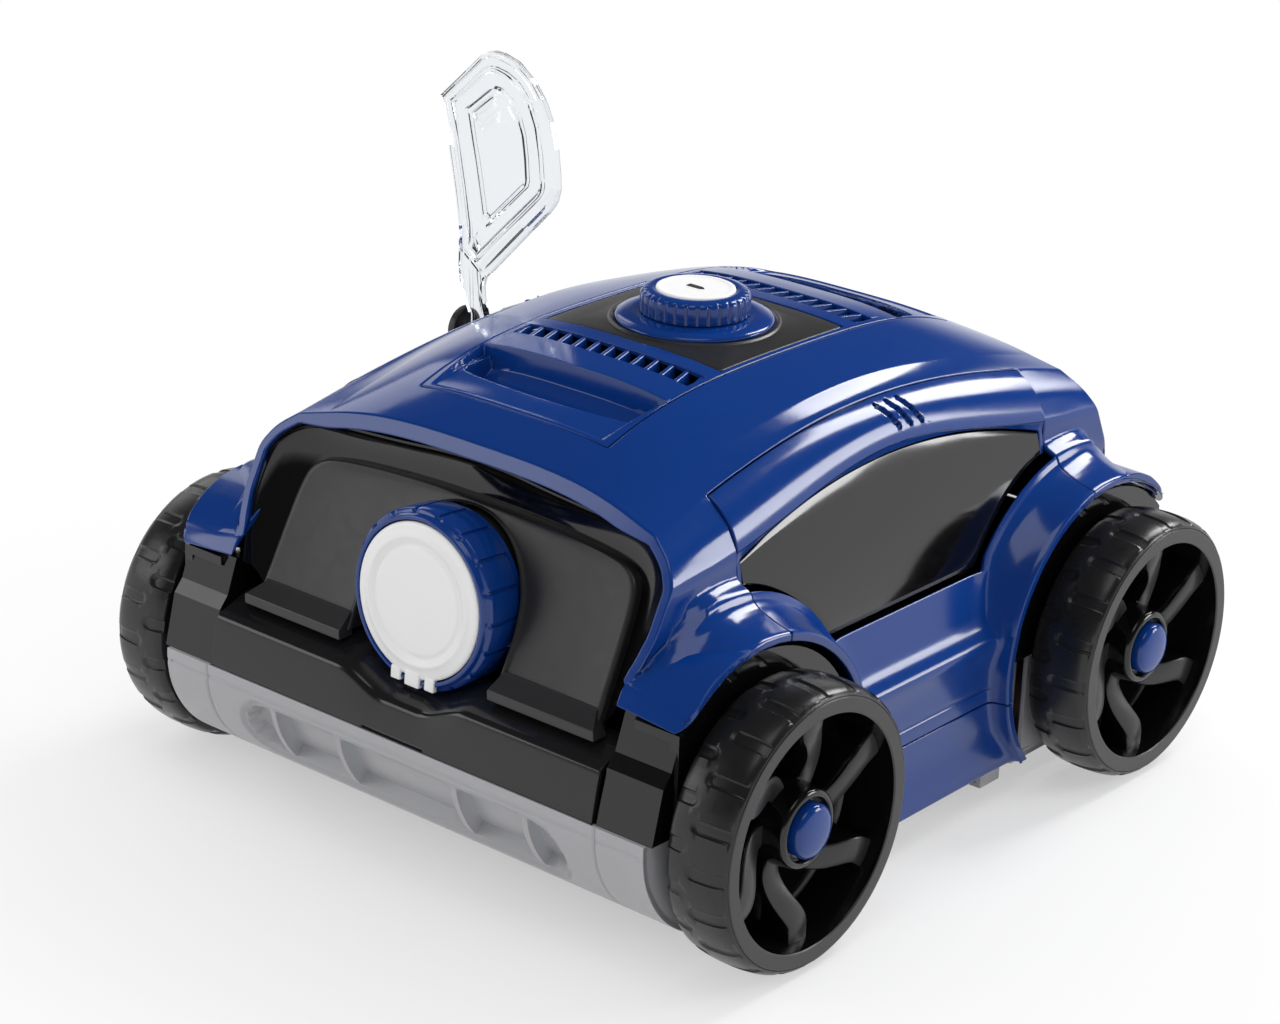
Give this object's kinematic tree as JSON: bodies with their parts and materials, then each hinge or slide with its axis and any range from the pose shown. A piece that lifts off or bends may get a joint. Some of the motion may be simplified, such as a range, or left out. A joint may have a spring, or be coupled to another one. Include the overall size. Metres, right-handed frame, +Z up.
{
  "type": "pool cleaner",
  "caption": "Jet-driven robotic pool cleaner: blue domed hood, dark side windows, hinged nozzle flaps, grey filter tray, top knob, clear swinging paddle and free-rolling wheels.",
  "frame": {"origin": "on the floor under the middle of the whole machine", "axes": "+X to the right side, +Y to the rear, +Z up"},
  "size_m": [0.376, 0.406, 0.327],
  "materials": {
    "blue_abs": "gloss moulded ABS, royal blue",
    "black_abs": "satin moulded ABS, black",
    "black_gloss": "gloss moulded ABS, black",
    "smoked_window": "dark smoked polycarbonate",
    "grey_tray": "light grey moulded polypropylene, slightly translucent",
    "white_abs": "white moulded ABS",
    "clear_pc": "clear moulded polycarbonate",
    "black_rubber": "moulded rubber",
    "tyre_rubber": "satin moulded rubber tread",
    "steel": "turned stainless steel",
    "battery_wrap": "shrink sleeve",
    "board_green": "solder-masked board",
    "mesh_white": "woven nylon mesh"
  },
  "bodies": {
    "chassis": {"hood": "blue_abs", "side_panel_left": "blue_abs", "side_panel_right": "blue_abs", "sill_left": "blue_abs", "sill_right": "blue_abs", "window_left": "smoked_window", "window_right": "smoked_window", "front_panel": "black_abs", "rear_panel": "black_abs", "bumper_front": "black_gloss", "bumper_rear": "black_gloss", "lower_hull": "black_abs", "filter_tray": "grey_tray", "filter_frame": "black_abs", "filter_mesh": "mesh_white", "filter_seal": "black_rubber", "top_deck": "blue_abs", "top_panel": "black_abs", "knob_flange": "blue_abs", "switch_body": "black_abs", "fin_bracket": "black_abs", "pump_duct": "black_abs", "motor_can": "steel", "shaft_seals": "black_rubber", "battery_pack": "battery_wrap", "circuit_board": "board_green", "axles": "steel", "charging_socket": "black_gloss", "case_screws": "steel"},
    "wheel_front_left": {"tyre_front_left": "tyre_rubber", "rim_front_left": "black_gloss", "wheel_cap_front_left": "blue_abs"},
    "wheel_front_right": {"tyre_front_right": "tyre_rubber", "rim_front_right": "black_gloss", "wheel_cap_front_right": "blue_abs"},
    "wheel_rear_left": {"tyre_rear_left": "tyre_rubber", "rim_rear_left": "black_gloss", "wheel_cap_rear_left": "blue_abs"},
    "wheel_rear_right": {"tyre_rear_right": "tyre_rubber", "rim_rear_right": "black_gloss", "wheel_cap_rear_right": "blue_abs"},
    "paddle": {"fin_paddle": "clear_pc", "fin_shaft": "steel"},
    "nozzle_front": {"nozzle_ring_front": "blue_abs", "flap_pin_front": "steel"},
    "nozzle_rear": {"nozzle_ring_rear": "blue_abs", "flap_pin_rear": "steel"},
    "flap_front": {"nozzle_flap_front": "white_abs"},
    "flap_rear": {"nozzle_flap_rear": "white_abs"},
    "power_knob": {"knob": "blue_abs", "knob_disc": "white_abs", "switch_shaft": "steel"},
    "rotor": {"drive_shaft": "steel", "propeller_front": "black_gloss", "propeller_rear": "black_gloss"},
    "tray_latch_left": {"latch_left": "grey_tray"},
    "tray_latch_right": {"latch_right": "grey_tray"},
    "inlet_flap_front": {"suction_flap_front": "black_rubber"},
    "inlet_flap_rear": {"suction_flap_rear": "black_rubber"}
  },
  "joints": [
    {"name": "wheel_front_left_spin", "type": "hinge", "parent": "chassis", "child": "wheel_front_left", "pos_m": [-0.17, -0.135, 0.066], "axis": [1, 0, 0], "continuous": true},
    {"name": "wheel_front_right_spin", "type": "hinge", "parent": "chassis", "child": "wheel_front_right", "pos_m": [0.17, -0.135, 0.066], "axis": [1, 0, 0], "continuous": true},
    {"name": "wheel_rear_left_spin", "type": "hinge", "parent": "chassis", "child": "wheel_rear_left", "pos_m": [-0.17, 0.135, 0.066], "axis": [1, 0, 0], "continuous": true},
    {"name": "wheel_rear_right_spin", "type": "hinge", "parent": "chassis", "child": "wheel_rear_right", "pos_m": [0.17, 0.135, 0.066], "axis": [1, 0, 0], "continuous": true},
    {"name": "paddle_swing", "type": "hinge", "parent": "chassis", "child": "paddle", "pos_m": [-0.137, 0, 0.182], "axis": [1, 0, 0], "range_deg": [-55, 55], "stiffness_Nm_per_rad": 0.08},
    {"name": "nozzle_front_turn", "type": "hinge", "parent": "chassis", "child": "nozzle_front", "pos_m": [0, -0.187, 0.1328], "axis": [0, -0.9976, 0.0698], "range_deg": [-45, 45]},
    {"name": "flap_front_open", "type": "hinge", "parent": "nozzle_front", "child": "flap_front", "pos_m": [0, -0.18805, 0.09488], "axis": [1, 0, 0], "range_deg": [0, 70]},
    {"name": "nozzle_rear_turn", "type": "hinge", "parent": "chassis", "child": "nozzle_rear", "pos_m": [0, 0.187, 0.1328], "axis": [0, 0.9976, 0.0698], "range_deg": [-45, 45]},
    {"name": "flap_rear_open", "type": "hinge", "parent": "nozzle_rear", "child": "flap_rear", "pos_m": [0, 0.18805, 0.09488], "axis": [-1, 0, 0], "range_deg": [0, 70]},
    {"name": "knob_turn", "type": "hinge", "parent": "chassis", "child": "power_knob", "pos_m": [0, 0, 0.23], "axis": [0, 0, 1], "range_deg": [0, 90]},
    {"name": "rotor_spin", "type": "hinge", "parent": "chassis", "child": "rotor", "pos_m": [0, 0, 0.1308], "axis": [0, 1, 0], "continuous": true},
    {"name": "latch_right_open", "type": "hinge", "parent": "chassis", "child": "tray_latch_right", "pos_m": [0.132, 0.06, 0.009], "axis": [0, 1, 0], "range_deg": [0, 25]},
    {"name": "latch_left_open", "type": "hinge", "parent": "chassis", "child": "tray_latch_left", "pos_m": [-0.132, 0.06, 0.009], "axis": [0, -1, 0], "range_deg": [0, 25]},
    {"name": "inlet_flap_front_lift", "type": "hinge", "parent": "chassis", "child": "inlet_flap_front", "pos_m": [0, -0.0426, 0.037], "axis": [-1, 0, 0], "range_deg": [0, 60]},
    {"name": "inlet_flap_rear_lift", "type": "hinge", "parent": "chassis", "child": "inlet_flap_rear", "pos_m": [0, 0.0426, 0.037], "axis": [1, 0, 0], "range_deg": [0, 60]}
  ]
}
